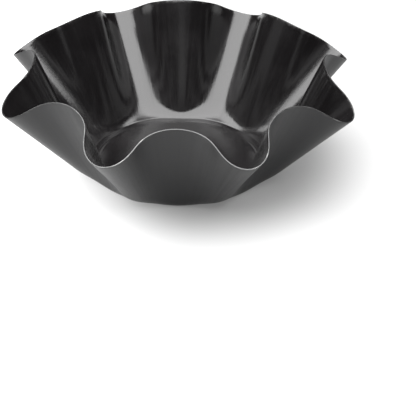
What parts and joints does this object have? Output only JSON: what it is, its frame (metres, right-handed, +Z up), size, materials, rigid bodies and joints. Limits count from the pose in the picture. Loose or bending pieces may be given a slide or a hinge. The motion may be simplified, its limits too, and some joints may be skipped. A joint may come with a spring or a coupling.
{
  "type": "fluted baking pan",
  "caption": "Wide fluted baking pan with a flat round base, a flared wall that waves into round lobes and folds, and a cut bare rim; shapes pastry or flatbread into a bowl.",
  "frame": {"origin": "centre of the flat resting face under the base", "axes": "+Z up out of the bowl's mouth, -Y towards the crest of the fold at the front, +Y towards the crest of the fold at the back"},
  "size_m": [0.187, 0.187, 0.0631],
  "materials": {
    "steel_shell": "bare cut sheet steel, seen only along the rim",
    "inner_coat_film": "glossy black release coat, baked on",
    "outer_coat_film": "satin charcoal coat, baked on"
  },
  "bodies": {
    "root": {"steel_shell": "steel_shell", "inner_coat_film": "inner_coat_film", "outer_coat_film": "outer_coat_film"}
  },
  "joints": []
}
